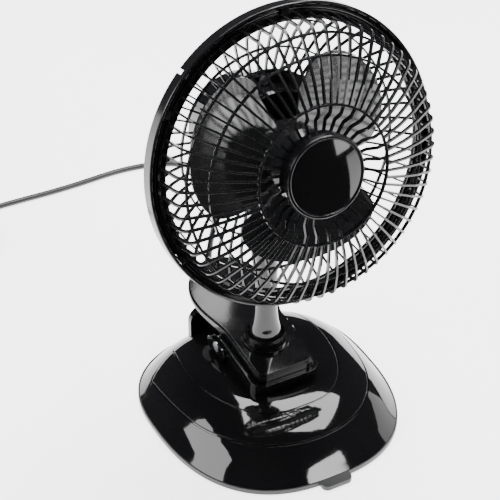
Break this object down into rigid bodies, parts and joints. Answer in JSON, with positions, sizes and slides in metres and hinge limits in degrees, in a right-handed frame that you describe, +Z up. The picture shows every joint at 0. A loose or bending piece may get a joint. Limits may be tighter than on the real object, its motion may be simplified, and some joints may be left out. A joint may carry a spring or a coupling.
{
  "type": "clip fan",
  "caption": "Small black clip fan on a domed base: caged head that tilts, a short post that swivels on the upper jaw of a spring clip, and a power cord.",
  "frame": {"origin": "on the floor, under the middle of the box round the fan without its cord", "axes": "+Z up, the face looks towards -Y and 11.9 degrees up, +X to the right of someone who faces the fan"},
  "size_m": [0.2641, 0.3881, 0.3006],
  "materials": {
    "gloss_black": "polished black plastic, mirror-like",
    "base_plastic": "fine-grained black plastic",
    "grille_black": "moulded black plastic, satin to gloss",
    "blade_black": "moulded black plastic, glossy",
    "neck_plastic": "dark plastic, bright highlights",
    "black_rubber": "soft rubber",
    "cord_jacket": "soft vinyl, satin",
    "screw_steel": "zinc plated",
    "spring_steel": "drawn and ground steel",
    "ballast_iron": "rough grey casting",
    "pin_brass": "nickel-free brass blades",
    "bearing_bronze": "sintered bronze",
    "core_steel": "stacked electrical sheet",
    "coil_copper": "enamelled copper wire",
    "terminal_nylon": "natural nylon"
  },
  "bodies": {
    "base": {"bottom_plate": "base_plastic", "base_feet": "black_rubber", "base_screws": "screw_steel", "base_weight": "ballast_iron", "base_shell": "gloss_black", "lower_jaw": "gloss_black", "jaw_screws": "screw_steel", "lower_jaw_pad": "black_rubber", "hinge_pin": "screw_steel", "pin_cap": "screw_steel", "jaw_spring": "spring_steel", "strain_relief": "black_rubber", "power_cord": "cord_jacket", "cord_coil": "cord_jacket", "coil_tie": "base_plastic", "plug_body": "cord_jacket", "plug_blades": "pin_brass"},
    "jaw": {"upper_jaw": "gloss_black", "upper_jaw_pad": "black_rubber", "collar_ring": "gloss_black"},
    "neck": {"neck_post": "neck_plastic", "swivel_washer": "screw_steel", "swivel_screw": "screw_steel", "tilt_bolt": "screw_steel", "tilt_knob": "base_plastic"},
    "head": {"front_grille": "grille_black", "hub_cap": "gloss_black", "rim_clips": "neck_plastic", "rear_grille": "grille_black", "motor_front_cover": "gloss_black", "motor_rear_cover": "gloss_black", "cover_screws": "screw_steel", "front_bearing": "bearing_bronze", "rear_bearing": "bearing_bronze", "stator_core": "core_steel", "stator_coils": "coil_copper", "speed_switch": "base_plastic", "terminal_block": "terminal_nylon"},
    "rotor": {"fan_blades": "blade_black", "blade_nut": "base_plastic", "motor_shaft": "spring_steel", "rotor_core": "core_steel", "thrust_rings": "terminal_nylon"},
    "dial": {"speed_knob": "base_plastic"}
  },
  "joints": [
    {"name": "jaw_open", "type": "hinge", "parent": "base", "child": "jaw", "pos_m": [0, 0.026, 0.04], "axis": [-1, 0, 0], "range_deg": [0, 14], "stiffness_Nm_per_rad": 0.7, "springref_deg": -45.84},
    {"name": "swivel", "type": "hinge", "parent": "jaw", "child": "neck", "pos_m": [0, 0.007, 0.055], "axis": [0, 0, 1], "range_deg": [-90, 90]},
    {"name": "tilt", "type": "hinge", "parent": "neck", "child": "head", "pos_m": [0, 0.007, 0.15], "axis": [-1, 0, 0], "range_deg": [-25, 50]},
    {"name": "rotor_spin", "type": "hinge", "parent": "head", "child": "rotor", "pos_m": [0, -0.0263, 0.21], "axis": [0, -0.9785, 0.2062], "continuous": true},
    {"name": "speed_dial", "type": "hinge", "parent": "head", "child": "dial", "pos_m": [0, -0.0263, 0.21], "axis": [0, -0.9785, 0.2062], "range_deg": [0, 90]}
  ]
}
